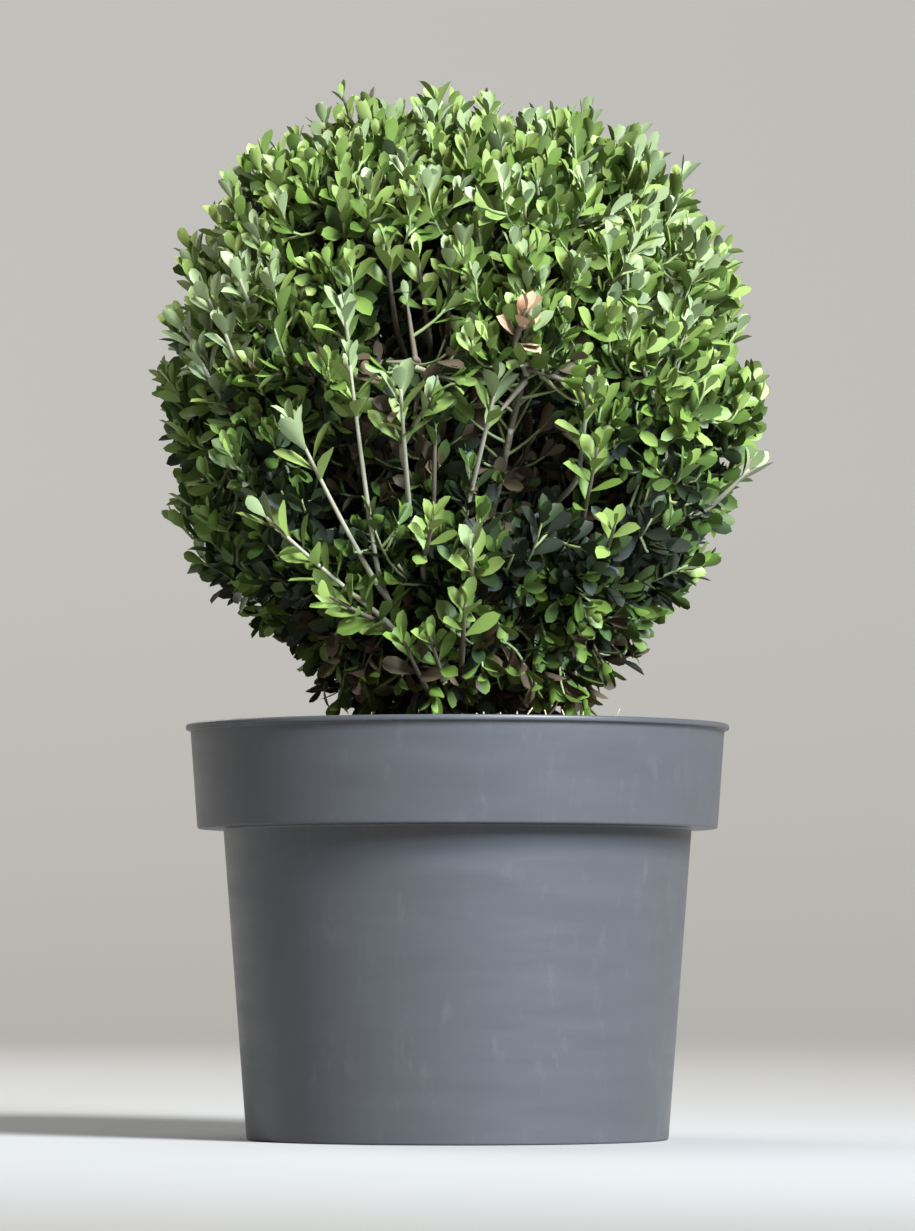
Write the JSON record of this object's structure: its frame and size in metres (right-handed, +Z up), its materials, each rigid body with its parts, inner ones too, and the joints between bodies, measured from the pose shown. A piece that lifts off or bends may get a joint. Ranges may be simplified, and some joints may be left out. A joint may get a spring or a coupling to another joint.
{
  "type": "potted japanese holly clipped to a ball",
  "caption": "Small-leaved evergreen Japanese holly clipped to a ball, in its round dark grey plastic nursery container with a banded rim and growing medium.",
  "frame": {"origin": "centre of the container's flat underside", "axes": "+Z up, -Y towards the viewer of the picture, +X to the viewer's right"},
  "size_m": [0.2555, 0.2647, 0.4433],
  "materials": {
    "pot_plastic": "satin",
    "growing_medium": "rough",
    "bark": "rough",
    "foliage": "satin"
  },
  "bodies": {
    "root": {"pot": "pot_plastic", "growing_medium": "growing_medium", "trunk": "bark", "bough_upper_1": "bark", "bough_upper_2": "bark", "bough_upper_3": "bark", "bough_upper_4": "bark", "bough_upper_5": "bark", "bough_side_1": "bark", "bough_side_2": "bark", "bough_side_3": "bark", "bough_side_4": "bark", "bough_side_5": "bark", "bough_front_1": "bark", "bough_front_2": "bark", "bough_front_3": "bark", "bough_low_1": "bark", "bough_low_2": "bark", "bough_low_3": "bark", "bough_low_4": "bark", "bough_low_5": "bark", "foliage_top": "foliage", "foliage_upper_1": "foliage", "foliage_upper_2": "foliage", "foliage_upper_3": "foliage", "foliage_upper_4": "foliage", "foliage_upper_5": "foliage", "foliage_side_1": "foliage", "foliage_side_2": "foliage", "foliage_side_3": "foliage", "foliage_side_4": "foliage", "foliage_side_5": "foliage", "foliage_front_1": "foliage", "foliage_front_2": "foliage", "foliage_front_3": "foliage", "foliage_low_1": "foliage", "foliage_low_2": "foliage", "foliage_low_3": "foliage", "foliage_low_4": "foliage", "foliage_low_5": "foliage"}
  },
  "joints": []
}
